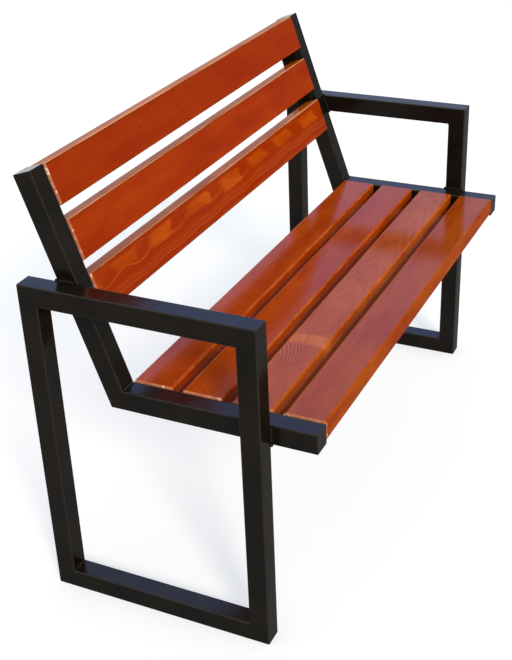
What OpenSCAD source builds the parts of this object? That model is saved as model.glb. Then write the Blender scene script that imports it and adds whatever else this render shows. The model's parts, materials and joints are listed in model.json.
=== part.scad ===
// Two-seat park bench: welded square-tube side frames that carry timber slats.
// Each side is a closed loop of four mitred tubes (legs, armrest and floor rail),
// with a seat bearer and a leaning back upright welded to its inner side.
// X runs along the bench, -Y is the front, +Z is up.
// The origin is on the ground, under the middle of the whole bench.

/* [Side loops] */
// Length of the bench over the outer faces of the two side loops
bench_length = 1210; // [1000:10:1600]
// Outer width of the square steel tube
tube = 40; // [34:1:50]
// Wall of the square steel tube
tube_wall = 2; // [1.5:0.5:3]
// Depth of each side loop from front to back
loop_depth = 466; // [440:2:540]
// Height of the armrest's top face above the ground
arm_height = 672; // [620:2:740]
// Radius to which the outer corners of the mitred tubes are ground
mitre_ease = 2; // [1:0.5:3]

/* [Seat and back frames] */
// Height of the seat bearer's top face above the ground
bearer_height = 467; // [420:1:500]
// How far the seat bearer reaches ahead of the front leg
front_overhang = 87; // [60:1:110]
// Length of the upright's rear face, from the knee to the top
upright_length = 457; // [420:1:520]
// Lean of the back upright from the vertical, in degrees
back_lean = 19; // [12:1:24]
// Thickness of the plates that close the open tube ends
cap_thickness = 3; // [2:0.5:5]

/* [Slats] */
// Thickness of every slat
slat_thickness = 38; // [32:1:45]
// Radius of the eased long edges of a slat
slat_radius = 5; // [2:0.5:8]
// Radius of the eased end corners of a slat
slat_end_radius = 2; // [1:0.5:4]
// Width of a seat slat
seat_slat_width = 80; // [70:1:90]
// Gap between two seat slats
seat_gap = 20; // [10:1:28]
// Width of a back slat
back_slat_width = 80; // [70:1:90]
// Gap between two back slats
back_gap = 25; // [15:1:35]
// Gap between a slat's end and the tube beside it
slat_end_clearance = 1; // [0.5:0.5:3]
// Gap between the rear seat slat and the plane of the uprights' front faces
knee_clearance = 1; // [0.5:0.5:10]

/* [Fixings] */
// Width of the flat steel strip that carries the slat ends
strip_width = 35; // [30:1:45]
// Thickness of the flat steel strip
strip_thickness = 5; // [4:0.5:6]
// Distance from the outer slats' edges to the ends of a strip
strip_margin = 10; // [5:1:15]
// Diameter of the coach screws
screw_diameter = 6; // [5:0.5:8]
// Length of a coach screw under its head
screw_length = 35; // [28:1:36]
// Length of a coach screw's pointed tip
screw_tip = 6; // [4:0.5:8]
// Diameter of the flat at the very point of a coach screw
screw_point = 1.5; // [1:0.5:3]
// Distance between the two screws at one slat end
screw_pitch = 36; // [30:1:48]
// Width of the hexagon head across its flats
head_across = 10; // [9:0.5:13]
// Height of the hexagon head
head_height = 4; // [3:0.5:5.5]
// Outer diameter of a washer
washer_diameter = 13; // [12:0.5:18]
// Thickness of a washer
washer_thickness = 1.6; // [1:0.1:2.5]
// Gap all round the screw in the steel strip and in the washer
screw_clearance = 0.5; // [0.3:0.1:1]
// Gap all round the screw in its pilot hole in the timber
pilot_clearance = 0.1; // [0.05:0.05:0.2]
// Depth of the pilot hole past the screw's point
pilot_spare = 2; // [1:0.5:3]

/* [Welds] */
// Radius of the weld beads where the loop meets the seat and back frame
joint_bead = 4; // [3.5:0.5:6]
// Gap between two beads that end at the same corner of a joint
bead_gap = 0.5; // [0.5:0.5:4]
// Radius of the stitch welds along the strips
stitch_bead = 3.5; // [2.5:0.5:4.5]
// Length of one stitch weld
stitch_length = 30; // [20:1:45]
// Number of stitch welds along one strip
stitch_count = 3; // [2:1:4]

/* [Hidden] */
$fn = 48;

left = -1;
right = 1;
seat_slats = 4;
back_slats = 3;
frame_colour = "#24201e";
timber_colour = "#a5410c";
zinc_colour = "#b9bcc0";

// Cold-formed square tube: the corner radii follow the wall
outer_radius = 1.5 * tube_wall;
inner_radius = outer_radius - tube_wall;

// How far a cutting shape passes the piece that it trims
over = 10;

// Places across the bench, from the middle to one side
loop_x = bench_length / 2 - tube / 2;
bearer_x = loop_x - tube;
joint_x = bench_length / 2 - tube;
inner_x = bench_length / 2 - 2 * tube;
screw_x = inner_x - strip_width / 2;
slat_length = 2 * (inner_x - slat_end_clearance);

// Heights of the seat
bearer_base = bearer_height - tube;
seat_base = bearer_base + strip_thickness;
seat_top = seat_base + slat_thickness;

// Seat and back, measured from the front face of the side loop
bearer_front = -front_overhang;
seat_depth = seat_slats * seat_slat_width + (seat_slats - 1) * seat_gap;
seat_rear = bearer_front + seat_depth;
knee_y = seat_rear + knee_clearance + tube / cos(back_lean)
    - (seat_top - bearer_base) * tan(back_lean);
mitre_slope = tan((90 - back_lean) / 2);
back_height = back_slats * back_slat_width + (back_slats - 1) * back_gap;

// The middle of the whole bench, front to back
bench_rear = max(loop_depth, knee_y + upright_length * sin(back_lean));
middle_y = (bearer_front + bench_rear) / 2;

// Where the upright's two faces pass a given height
function upright_rear(z) = knee_y + (z - bearer_base) * tan(back_lean);
function upright_front(z) = upright_rear(z) - tube / cos(back_lean);
function seat_slat_y(i) = bearer_front + i * (seat_slat_width + seat_gap);
function back_slat_s(i) = upright_length - back_slat_width - i * (back_slat_width + back_gap);

// Every piece of a side frame is drawn for the left side; the right one mirrors it
module on_side(side) {
    translate([0, -middle_y, 0])
        mirror([side == right ? 1 : 0, 0, 0]) children();
}

// Local frame of the back: z runs up the upright, its rear face is at y = 0
module on_upright() {
    translate([0, knee_y, bearer_base])
        rotate([-back_lean, 0, 0]) children();
}

// A shape drawn in the Y-Z plane and extruded across one side frame
module side_prism(points) {
    translate([-bench_length / 2 - over, 0, 0])
        rotate([90, 0, 90])
            linear_extrude(2 * tube + 2 * over) polygon(points);
}

// Rectangle with true round corners, centred on the origin
module rounded_rect(width, height, radius) {
    square([width - 2 * radius, height], center = true);
    square([width, height - 2 * radius], center = true);
    for (x = [-1, 1], y = [-1, 1])
        translate([x * (width / 2 - radius), y * (height / 2 - radius)])
            circle(r = radius);
}

module tube_outline() {
    rounded_rect(tube, tube, outer_radius);
}

module tube_section() {
    difference() {
        tube_outline();
        rounded_rect(tube - 2 * tube_wall, tube - 2 * tube_wall, inner_radius);
    }
}

// The whole side loop as one block with its outer corners ground round
module loop_block() {
    translate([-bench_length / 2 - over, loop_depth / 2, arm_height / 2])
        rotate([90, 0, 90])
            linear_extrude(2 * tube + 2 * over)
                rounded_rect(loop_depth, arm_height, mitre_ease);
}

// What grinding takes off the outer corner of the knee
module knee_waste() {
    reach = mitre_ease * mitre_slope;
    translate([0, knee_y, bearer_base]) difference() {
        side_prism([
            [-reach, mitre_ease],
            [-reach, -over],
            [over, -over],
            [reach * sin(back_lean) + over * cos(back_lean),
                reach * cos(back_lean) - over * sin(back_lean)],
            [reach * sin(back_lean), reach * cos(back_lean)]
        ]);
        translate([-bearer_x, -reach, mitre_ease])
            rotate([0, 90, 0])
                cylinder(r = mitre_ease, h = 2 * (tube + over), center = true);
    }
}

// Lays an upright extrusion down so that it runs from front to back
module lay_back(front_y) {
    translate([0, front_y, 0])
        rotate([-90, 0, 0]) children();
}

// Side loop: legs, armrest and floor rail, mitred at 45 degrees

module leg(front_y, trim) {
    intersection() {
        translate([-loop_x, front_y + tube / 2, 0])
            linear_extrude(arm_height) tube_section();
        side_prism(trim);
        loop_block();
    }
}

module front_leg() {
    leg(0, [
        [-over, -over],
        [tube + over, tube + over],
        [tube + over, arm_height - tube - over],
        [-over, arm_height + over]
    ]);
}

module rear_leg() {
    leg(loop_depth - tube, [
        [loop_depth + over, -over],
        [loop_depth - tube - over, tube + over],
        [loop_depth - tube - over, arm_height - tube - over],
        [loop_depth + over, arm_height + over]
    ]);
}

module armrest() {
    intersection() {
        translate([-loop_x, 0, arm_height - tube / 2])
            lay_back(0) linear_extrude(loop_depth) tube_section();
        side_prism([
            [-over, arm_height + over],
            [tube + over, arm_height - tube - over],
            [loop_depth - tube - over, arm_height - tube - over],
            [loop_depth + over, arm_height + over]
        ]);
        loop_block();
    }
}

module floor_rail() {
    intersection() {
        translate([-loop_x, 0, tube / 2])
            lay_back(0) linear_extrude(loop_depth) tube_section();
        side_prism([
            [-over, -over],
            [tube + over, tube + over],
            [loop_depth - tube - over, tube + over],
            [loop_depth + over, -over]
        ]);
        loop_block();
    }
}

// Seat and back frame: the two tubes meet in a mitre at the knee

module bearer_tube(length) {
    translate([-bearer_x, 0, bearer_height - tube / 2])
        lay_back(bearer_front + cap_thickness)
            linear_extrude(length) children();
}

module seat_bearer() {
    difference() {
        intersection() {
            bearer_tube(knee_y - bearer_front) tube_section();
            side_prism([
                [bearer_front - over, bearer_base - over],
                [knee_y + over * mitre_slope, bearer_base - over],
                [knee_y - (tube + over) * mitre_slope, bearer_height + over],
                [bearer_front - over, bearer_height + over]
            ]);
        }
        knee_waste();
    }
}

module back_upright() {
    difference() {
        on_upright() intersection() {
            translate([-bearer_x, -tube / 2, -over])
                linear_extrude(upright_length - cap_thickness + over) tube_section();
            side_prism([
                [over, -over * mitre_slope],
                [-tube - over, (tube + over) * mitre_slope],
                [-tube - over, upright_length + over],
                [over, upright_length + over]
            ]);
        }
        knee_waste();
    }
}

module bearer_cap() {
    translate([-bearer_x, 0, bearer_height - tube / 2])
        lay_back(bearer_front) linear_extrude(cap_thickness) tube_outline();
}

module upright_cap() {
    on_upright()
        translate([-bearer_x, -tube / 2, upright_length - cap_thickness])
            linear_extrude(cap_thickness) tube_outline();
}

// Flat strips under the seat slats and behind the back slats

module strip_holes(centres) {
    for (c = centres, k = [-0.5, 0.5])
        translate([-screw_x, c + k * screw_pitch, -over])
            cylinder(d = screw_diameter + 2 * screw_clearance, h = strip_thickness + 2 * over);
}

// A flat strip in its own plane, from start to finish along y
module flat_strip(start, finish, centres) {
    difference() {
        translate([-inner_x, start, 0])
            cube([strip_width, finish - start, strip_thickness]);
        strip_holes(centres);
    }
}

seat_centres = [for (i = [0:seat_slats - 1]) seat_slat_y(i) + seat_slat_width / 2];
back_centres = [for (i = [0:back_slats - 1]) back_slat_s(i) + back_slat_width / 2];

seat_strip_start = bearer_front + strip_margin;
seat_strip_finish = seat_rear - strip_margin;
back_strip_start = upright_length - back_height + strip_margin;
back_strip_finish = upright_length - strip_margin;

module seat_strip() {
    translate([0, 0, bearer_base])
        flat_strip(seat_strip_start, seat_strip_finish, seat_centres);
}

module back_strip() {
    on_upright() rotate([90, 0, 0])
        flat_strip(back_strip_start, back_strip_finish, back_centres);
}

// Weld beads: round rods with domed ends, cut away where the steel is

module bead(radius, length) {
    cylinder(r = radius, h = length);
    sphere(r = radius);
    translate([0, 0, length]) sphere(r = radius);
}

// A bead across a tube's width, short of a second bead's round end at each edge
module cross_bead(width) {
    setback = 2 * joint_bead + bead_gap;
    translate([0, 0, setback]) bead(joint_bead, width - 2 * setback);
}

// All round the joint of front leg and seat bearer: two beads on the bearer's outer
// face, and above and below it two on the leg's inner face
module leg_beads() {
    difference() {
        union() {
            for (y = [0, tube])
                translate([-joint_x, y, bearer_base]) cross_bead(tube);
            for (z = [bearer_base, bearer_height])
                translate([-joint_x, 0, z]) lay_back(0) bead(joint_bead, tube);
        }
        translate([-loop_x, tube / 2, bearer_base - over])
            linear_extrude(tube + 2 * over) tube_outline();
        bearer_tube(tube + front_overhang + over) tube_outline();
    }
}

// All round the joint of armrest and back upright: two beads on the upright's outer
// face, and ahead of it and behind it two on the armrest's inner face
module arm_beads() {
    across = tube / cos(back_lean);
    foot = (arm_height - tube - bearer_base) / cos(back_lean);
    difference() {
        union() {
            for (z = [arm_height - tube, arm_height])
                translate([-joint_x, 0, z])
                    lay_back(upright_front(z)) cross_bead(across);
            for (y = [-tube, 0])
                on_upright() translate([-joint_x, y, foot + y * tan(back_lean)])
                    bead(joint_bead, across);
        }
        translate([-loop_x, 0, arm_height - tube / 2])
            lay_back(0) linear_extrude(loop_depth) tube_outline();
        on_upright() translate([-bearer_x, -tube / 2, 0])
            linear_extrude(upright_length) tube_outline();
    }
}

// Across the tube in the four inner corners of the loop
module corner_beads() {
    inner_y = [tube, loop_depth - tube];
    inner_z = [tube, arm_height - tube];
    intersection() {
        for (y = inner_y, z = inner_z)
            translate([-bench_length / 2, y, z]) rotate([0, 90, 0]) cross_bead(tube);
        side_prism([
            [inner_y[0], inner_z[0]],
            [inner_y[1], inner_z[0]],
            [inner_y[1], inner_z[1]],
            [inner_y[0], inner_z[1]]
        ]);
    }
}

// Across the tube in the inner corner of the knee
module knee_bead() {
    intersection() {
        translate([-joint_x, upright_front(bearer_height), bearer_height])
            rotate([0, 90, 0]) cross_bead(tube);
        side_prism([
            [upright_front(bearer_height) - over, bearer_height],
            [upright_front(bearer_height), bearer_height],
            [upright_front(bearer_height + over), bearer_height + over],
            [upright_front(bearer_height) - over, bearer_height + over]
        ]);
    }
}

// Stitch welds along a strip that lies in its own plane, as in flat_strip
module strip_beads(start, finish) {
    step = (finish - start) / stitch_count;
    difference() {
        for (i = [0:stitch_count - 1])
            translate([-inner_x, start + (i + 0.5) * step - stitch_length / 2, 0])
                lay_back(0) bead(stitch_bead, stitch_length);
        translate([-inner_x, start, 0])
            cube([strip_width, finish - start, strip_thickness]);
        translate([-bearer_x, 0, tube / 2])
            lay_back(start - over)
                linear_extrude(finish - start + 2 * over) tube_outline();
    }
}

module frame_beads() {
    leg_beads();
    arm_beads();
    corner_beads();
    knee_bead();
    translate([0, 0, bearer_base])
        strip_beads(seat_strip_start, seat_strip_finish);
    on_upright() rotate([90, 0, 0])
        strip_beads(back_strip_start, back_strip_finish);
}

// Timber slats: eased on the long edges and at the end corners

module slat(width) {
    pilot_depth = screw_length - washer_thickness - strip_thickness + pilot_spare;
    difference() {
        intersection() {
            translate([-slat_length / 2, width / 2, slat_thickness / 2])
                rotate([90, 0, 90])
                    linear_extrude(slat_length)
                        rounded_rect(width, slat_thickness, slat_radius);
            translate([0, width / 2, 0])
                linear_extrude(slat_thickness)
                    rounded_rect(slat_length, width, slat_end_radius);
            translate([0, width, slat_thickness / 2])
                rotate([90, 0, 0])
                    linear_extrude(width)
                        rounded_rect(slat_length, slat_thickness, slat_end_radius);
        }
        for (x = [-screw_x, screw_x], k = [-0.5, 0.5])
            translate([x, width / 2 + k * screw_pitch, -over])
                cylinder(d = screw_diameter + 2 * pilot_clearance, h = pilot_depth + over);
    }
}

// Seat slats are counted from the front, back slats from the top
module seat_slat(i) {
    translate([0, seat_slat_y(i) - middle_y, seat_base])
        slat(seat_slat_width);
}

module back_slat(i) {
    translate([0, -middle_y, 0]) on_upright()
        translate([0, -strip_thickness, back_slat_s(i)])
            rotate([90, 0, 0]) slat(back_slat_width);
}

// Coach screws and washers; z = 0 is the outer face of the steel strip

module coach_screw() {
    translate([0, 0, -washer_thickness]) {
        translate([0, 0, -head_height])
            cylinder(d = head_across / cos(30), h = head_height, $fn = 6);
        cylinder(d = screw_diameter, h = screw_length - screw_tip);
        translate([0, 0, screw_length - screw_tip])
            cylinder(d1 = screw_diameter, d2 = screw_point, h = screw_tip);
    }
}

module washer() {
    translate([0, 0, -washer_thickness]) difference() {
        cylinder(d = washer_diameter, h = washer_thickness);
        translate([0, 0, -over])
            cylinder(d = screw_diameter + 2 * screw_clearance, h = washer_thickness + 2 * over);
    }
}

module at_seat_screws() {
    translate([0, -middle_y, bearer_base])
        for (c = seat_centres, k = [-0.5, 0.5], x = [-screw_x, screw_x])
            translate([x, c + k * screw_pitch, 0]) children();
}

module at_back_screws() {
    translate([0, -middle_y, 0]) on_upright() rotate([90, 0, 0])
        for (c = back_centres, k = [-0.5, 0.5], x = [-screw_x, screw_x])
            translate([x, c + k * screw_pitch, 0]) children();
}

module left_front_leg() { color(frame_colour) on_side(left) front_leg(); }
module left_rear_leg() { color(frame_colour) on_side(left) rear_leg(); }
module left_armrest() { color(frame_colour) on_side(left) armrest(); }
module left_floor_rail() { color(frame_colour) on_side(left) floor_rail(); }
module left_seat_bearer() { color(frame_colour) on_side(left) seat_bearer(); }
module left_back_upright() { color(frame_colour) on_side(left) back_upright(); }
module left_bearer_cap() { color(frame_colour) on_side(left) bearer_cap(); }
module left_upright_cap() { color(frame_colour) on_side(left) upright_cap(); }
module left_seat_strip() { color(frame_colour) on_side(left) seat_strip(); }
module left_back_strip() { color(frame_colour) on_side(left) back_strip(); }
module left_welds() { color(frame_colour) on_side(left) frame_beads(); }

module right_front_leg() { color(frame_colour) on_side(right) front_leg(); }
module right_rear_leg() { color(frame_colour) on_side(right) rear_leg(); }
module right_armrest() { color(frame_colour) on_side(right) armrest(); }
module right_floor_rail() { color(frame_colour) on_side(right) floor_rail(); }
module right_seat_bearer() { color(frame_colour) on_side(right) seat_bearer(); }
module right_back_upright() { color(frame_colour) on_side(right) back_upright(); }
module right_bearer_cap() { color(frame_colour) on_side(right) bearer_cap(); }
module right_upright_cap() { color(frame_colour) on_side(right) upright_cap(); }
module right_seat_strip() { color(frame_colour) on_side(right) seat_strip(); }
module right_back_strip() { color(frame_colour) on_side(right) back_strip(); }
module right_welds() { color(frame_colour) on_side(right) frame_beads(); }

module seat_slat_1() { color(timber_colour) seat_slat(0); }
module seat_slat_2() { color(timber_colour) seat_slat(1); }
module seat_slat_3() { color(timber_colour) seat_slat(2); }
module seat_slat_4() { color(timber_colour) seat_slat(3); }
module back_slat_1() { color(timber_colour) back_slat(0); }
module back_slat_2() { color(timber_colour) back_slat(1); }
module back_slat_3() { color(timber_colour) back_slat(2); }

module seat_screws() { color(zinc_colour) at_seat_screws() coach_screw(); }
module seat_washers() { color(zinc_colour) at_seat_screws() washer(); }
module back_screws() { color(zinc_colour) at_back_screws() coach_screw(); }
module back_washers() { color(zinc_colour) at_back_screws() washer(); }

left_front_leg();
left_rear_leg();
left_armrest();
left_floor_rail();
left_seat_bearer();
left_back_upright();
left_bearer_cap();
left_upright_cap();
left_seat_strip();
left_back_strip();
left_welds();
right_front_leg();
right_rear_leg();
right_armrest();
right_floor_rail();
right_seat_bearer();
right_back_upright();
right_bearer_cap();
right_upright_cap();
right_seat_strip();
right_back_strip();
right_welds();
seat_slat_1();
seat_slat_2();
seat_slat_3();
seat_slat_4();
back_slat_1();
back_slat_2();
back_slat_3();
seat_screws();
seat_washers();
back_screws();
back_washers();
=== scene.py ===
import json
import math

import bmesh
import bpy
import numpy as np
from mathutils import Euler, Matrix, Vector

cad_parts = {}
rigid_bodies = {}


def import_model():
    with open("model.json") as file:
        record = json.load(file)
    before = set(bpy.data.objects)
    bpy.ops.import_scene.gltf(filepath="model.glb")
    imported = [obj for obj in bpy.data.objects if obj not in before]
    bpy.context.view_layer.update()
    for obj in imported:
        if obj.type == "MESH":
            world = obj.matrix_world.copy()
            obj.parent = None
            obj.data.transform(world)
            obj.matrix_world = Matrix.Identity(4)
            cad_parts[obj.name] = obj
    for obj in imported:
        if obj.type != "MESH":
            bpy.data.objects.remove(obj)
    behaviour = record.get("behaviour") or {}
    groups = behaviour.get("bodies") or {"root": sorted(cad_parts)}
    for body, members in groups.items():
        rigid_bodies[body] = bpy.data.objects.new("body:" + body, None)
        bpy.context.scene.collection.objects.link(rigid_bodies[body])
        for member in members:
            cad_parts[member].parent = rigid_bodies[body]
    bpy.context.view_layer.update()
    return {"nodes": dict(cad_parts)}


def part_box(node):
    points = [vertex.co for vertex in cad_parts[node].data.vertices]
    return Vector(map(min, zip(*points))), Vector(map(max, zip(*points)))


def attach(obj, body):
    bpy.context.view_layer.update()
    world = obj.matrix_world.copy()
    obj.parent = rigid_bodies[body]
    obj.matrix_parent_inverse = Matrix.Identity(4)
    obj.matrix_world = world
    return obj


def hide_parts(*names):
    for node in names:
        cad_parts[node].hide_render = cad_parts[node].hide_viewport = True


for leftover in list(bpy.data.objects):  # the cube, lamp and camera of Blender's startup file
    bpy.data.objects.remove(leftover)
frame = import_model()
print("frame loaded:", len(frame["nodes"]), "nodes")


def addObject(name, data):
    thing = bpy.data.objects.new(name, data)
    bpy.context.scene.collection.objects.link(thing)
    return thing


# Camera, solved from the picture's straight edges

shot = {
    "place": (-2.0807, -0.9215, 1.5746),
    "azimuth": -63.682,
    "elevation": 28.697,
    "roll": -2.422,
    "focalPixels": 1176.7,
    "pictureHeight": 660,
    "sensor": 36.0,
}


def addCamera():
    azimuth, elevation, roll = (math.radians(shot[key]) for key in ("azimuth", "elevation", "roll"))
    back = Vector((math.sin(azimuth) * math.cos(elevation),
                   -math.cos(azimuth) * math.cos(elevation),
                   math.sin(elevation)))
    right = Vector((0, 0, 1)).cross(back).normalized()
    up = back.cross(right)
    cameraRight = math.cos(roll) * right + math.sin(roll) * up
    cameraUp = math.cos(roll) * up - math.sin(roll) * right
    data = bpy.data.cameras.new("camera")
    data.sensor_width = shot["sensor"]
    data.lens = shot["focalPixels"] * shot["sensor"] / shot["pictureHeight"]
    camera = addObject("camera", data)
    turn = Matrix((cameraRight, cameraUp, back)).transposed().to_4x4()
    camera.matrix_world = Matrix.Translation(shot["place"]) @ turn
    bpy.context.scene.camera = camera


addCamera()
print("camera placed")


# Small helpers for node trees: an input is given a number, a colour or another node's output,
# and a new node goes into the tree that the output belongs to

valueKinds = {int: "Int", float: "Float", tuple: "Vector"}
valueOutputs = ("LENGTH", "DISTANCE", "DOT_PRODUCT")  # the vector operations that give one number
bumpStrength = 0.5


def isOutput(value):
    return isinstance(value, bpy.types.NodeSocket)


def setInputs(node, values):
    for key, value in values.items():
        socket = node.inputs[key]
        if isOutput(value):
            node.id_data.links.new(value, socket)
        elif socket.type == "RGBA":
            socket.default_value = (*value, 1)
        else:
            socket.default_value = value


def addNode(tree, kind, values=None, **settings):
    node = tree.nodes.new(kind)
    for key, value in settings.items():
        setattr(node, key, value)
    setInputs(node, values or {})
    return node


def maths(operation, *values):
    tree = next(filter(isOutput, values)).id_data
    return addNode(tree, "ShaderNodeMath", dict(enumerate(values)), operation=operation).outputs[0]


def times(result, *others):
    for value in others:
        result = maths("MULTIPLY", result, value)
    return result


def plus(result, *others):
    for value in others:
        result = maths("ADD", result, value)
    return result


def minus(a, b):
    return maths("SUBTRACT", a, b)


def stretch(value, low, high, toLow=0.0, toHigh=1.0, curve="LINEAR"):
    node = addNode(value.id_data, "ShaderNodeMapRange",
                   {"Value": value, "From Min": low, "From Max": high, "To Min": toLow, "To Max": toHigh},
                   interpolation_type=curve)
    return node.outputs["Result"]


def vectorMaths(operation, a, b=None):
    values = {0: a}
    if b is not None:
        values["Scale" if operation == "SCALE" else 1] = b
    node = addNode(a.id_data, "ShaderNodeVectorMath", values, operation=operation)
    return node.outputs["Value" if operation in valueOutputs else "Vector"]


def splitVector(vector):
    node = addNode(vector.id_data, "ShaderNodeSeparateXYZ", {0: vector})
    return [node.outputs[axis] for axis in "XYZ"]


def joinVector(**values):
    tree = next(filter(isOutput, values.values())).id_data
    return addNode(tree, "ShaderNodeCombineXYZ", values).outputs[0]


def noise(vector, size, detail, roughness=0.5, drawn=1.0):
    tree = vector.id_data
    if drawn != 1.0:  # a pattern drawn out along X, as timber is
        vector = addNode(tree, "ShaderNodeMapping", {"Vector": vector, "Scale": (drawn, 1, 1)}).outputs[0]
    values = {"Vector": vector, "Scale": size, "Detail": detail, "Roughness": roughness}
    return addNode(tree, "ShaderNodeTexNoise", values).outputs["Fac"]


def seenFrom(vector, place, turn):  # a pattern's own frame, centred on a place and turned
    values = {"Vector": vector, "Location": place, "Rotation": turn}
    return addNode(vector.id_data, "ShaderNodeMapping", values, vector_type="TEXTURE").outputs[0]


def blendColours(factor, a, b):
    return addNode(factor.id_data, "ShaderNodeMix", {0: factor, 6: a, 7: b}, data_type="RGBA").outputs[2]


def bumped(height, depth):
    values = {"Height": height, "Distance": depth, "Strength": bumpStrength}
    return addNode(height.id_data, "ShaderNodeBump", values).outputs[0]


def markOf(tree, name):
    return addNode(tree, "ShaderNodeAttribute", attribute_name=name).outputs["Fac"]


def objectPlace(tree):
    return tree.nodes.new("ShaderNodeTexCoord").outputs["Object"]


def newGroup(name, inputs, outputs, kind="ShaderNodeTree"):  # a socket's value is its default, or its kind
    tree = bpy.data.node_groups.new(name, kind)
    for direction, sockets in (("INPUT", inputs), ("OUTPUT", outputs)):
        for label, value in sockets.items():
            plain = isinstance(value, str)
            socketKind = "NodeSocket" + (value if plain else valueKinds[type(value)])
            socket = tree.interface.new_socket(label, in_out=direction, socket_type=socketKind)
            if not plain:
                socket.default_value = value
    return tree, tree.nodes.new("NodeGroupInput").outputs, tree.nodes.new("NodeGroupOutput")


def useGroup(tree, group, values):
    return addNode(tree, "ShaderNodeGroup", values, node_tree=group).outputs


def clearTree(owner):
    owner.use_nodes = True
    owner.node_tree.nodes.clear()
    return owner.node_tree


# Effects that several finishes share; a span is where a value begins and ends, then what it becomes

effects = {
    "wearBreakup": {"detail": 5.0, "roughness": 0.7},
    "wearSpan": (0.40, 0.66, 0.08, 1.0),
    "dustUp": (0.2, 0.95),
    "dustCloud": {"detail": 6.0, "roughness": 0.65},
    "dustSpan": (0.35, 0.75),
}


def upwardness(tree):
    return splitVector(addNode(tree, "ShaderNodeNewGeometry").outputs["Normal"])[2]


def makeEdgeWear():
    tree, inside, out = newGroup(
        "edgeWear", {"Vector": "Vector", "Edge": 0.0, "Amount": 0.5, "Size": 120.0}, {"Mask": "Float"})
    breakup = noise(inside["Vector"], inside["Size"], **effects["wearBreakup"])
    patchy = stretch(breakup, *effects["wearSpan"])
    setInputs(out, {"Mask": times(inside["Edge"], patchy, inside["Amount"])})
    return tree


def makeDust():
    tree, inside, out = newGroup(
        "dustFilm", {"Vector": "Vector", "Amount": 0.3, "Size": 14.0}, {"Mask": "Float"})
    onTop = stretch(upwardness(tree), *effects["dustUp"])
    cloud = noise(inside["Vector"], inside["Size"], **effects["dustCloud"])
    lying = stretch(cloud, *effects["dustSpan"])
    setInputs(out, {"Mask": times(onTop, lying, inside["Amount"])})
    return tree


def makeFaceUp():
    tree, inside, out = newGroup("faceUp", {"Low": 0.6, "High": 0.9}, {"Share": "Float"})
    setInputs(out, {"Share": stretch(upwardness(tree), inside["Low"], inside["High"])})
    return tree


growth = {  # how the year rings are drawn, the same in every board
    "bend": {"size": 26.0, "detail": 2.5, "drawn": 0.16},
    "bendShift": 0.6,  # how far the bend shifts the ripples, in ripples
    "ringRise": (0.35, 0.92),  # from pale early wood to dark late wood, in one year
    "ringPower": 1.6,
    "ringFall": (0.92, 1.0, 1.0, 0.0),
    "fibre": {"size": 700.0, "detail": 5.0, "roughness": 0.6, "drawn": 0.035},
    "cloud": {"size": 22.0, "detail": 3.0, "drawn": 0.3},
}


def makeTimberFigure():
    tree, inside, out = newGroup(
        "timberFigure",
        {"Vector": "Vector", "Pith": (0.0, 0.0, 0.0), "Tilt": (0.0, 0.0, 0.0), "Ring Spacing": 0.004,
         "Wobble": 0.004, "Ripple": 0.0, "Ripple Length": 0.15, "Knot": (9.0, 9.0, 9.0), "Knot Size": 0.03,
         "Knot Rise": 0.0},
        {"Ring": "Float", "Tone": "Float", "Fibre": "Float", "Cloud": "Float", "Phase": "Float"})
    place = inside["Vector"]
    fromPith = seenFrom(place, inside["Pith"], inside["Tilt"])
    bend = noise(fromPith, **growth["bend"])
    shift = vectorMaths("SUBTRACT", bend.node.outputs["Color"], (0.5, 0.5, 0.5))
    shift = vectorMaths("SCALE", shift, inside["Wobble"])
    across = vectorMaths("MULTIPLY", vectorMaths("ADD", fromPith, shift), (0, 1, 1))
    distance = vectorMaths("LENGTH", across)
    ripples = maths("DIVIDE", splitVector(place)[0], inside["Ripple Length"])
    ripples = plus(ripples, times(bend, growth["bendShift"]))
    swell = times(maths("SINE", times(ripples, 2 * math.pi)), inside["Ripple"])
    toKnot = maths("DIVIDE", vectorMaths("DISTANCE", place, inside["Knot"]), inside["Knot Size"])
    bulge = times(maths("EXPONENT", times(toKnot, toKnot, -1.0)), inside["Knot Rise"])
    years = maths("DIVIDE", plus(distance, swell, bulge), inside["Ring Spacing"])
    year = maths("FRACT", years)
    rise = maths("POWER", stretch(year, *growth["ringRise"]), growth["ringPower"])
    wholeYear = maths("FLOOR", years)
    tone = addNode(tree, "ShaderNodeTexWhiteNoise", {"W": wholeYear}, noise_dimensions="1D")
    setInputs(out, {
        "Ring": times(rise, stretch(year, *growth["ringFall"])),
        "Tone": tone.outputs["Value"],
        "Fibre": noise(place, **growth["fibre"]),
        "Cloud": noise(fromPith, **growth["cloud"]),
        "Phase": maths("FRACT", ripples),
    })
    return tree


edgeWear = makeEdgeWear()
dustFilm = makeDust()
faceUp = makeFaceUp()
timberFigure = makeTimberFigure()
print("shared effects built")


# Finishes

def newMaterial(name):
    material = bpy.data.materials.new(name)
    tree = clearTree(material)
    shader = tree.nodes.new("ShaderNodeBsdfPrincipled")
    addNode(tree, "ShaderNodeOutputMaterial", {"Surface": shader.outputs[0]})
    return material, tree, shader


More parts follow.
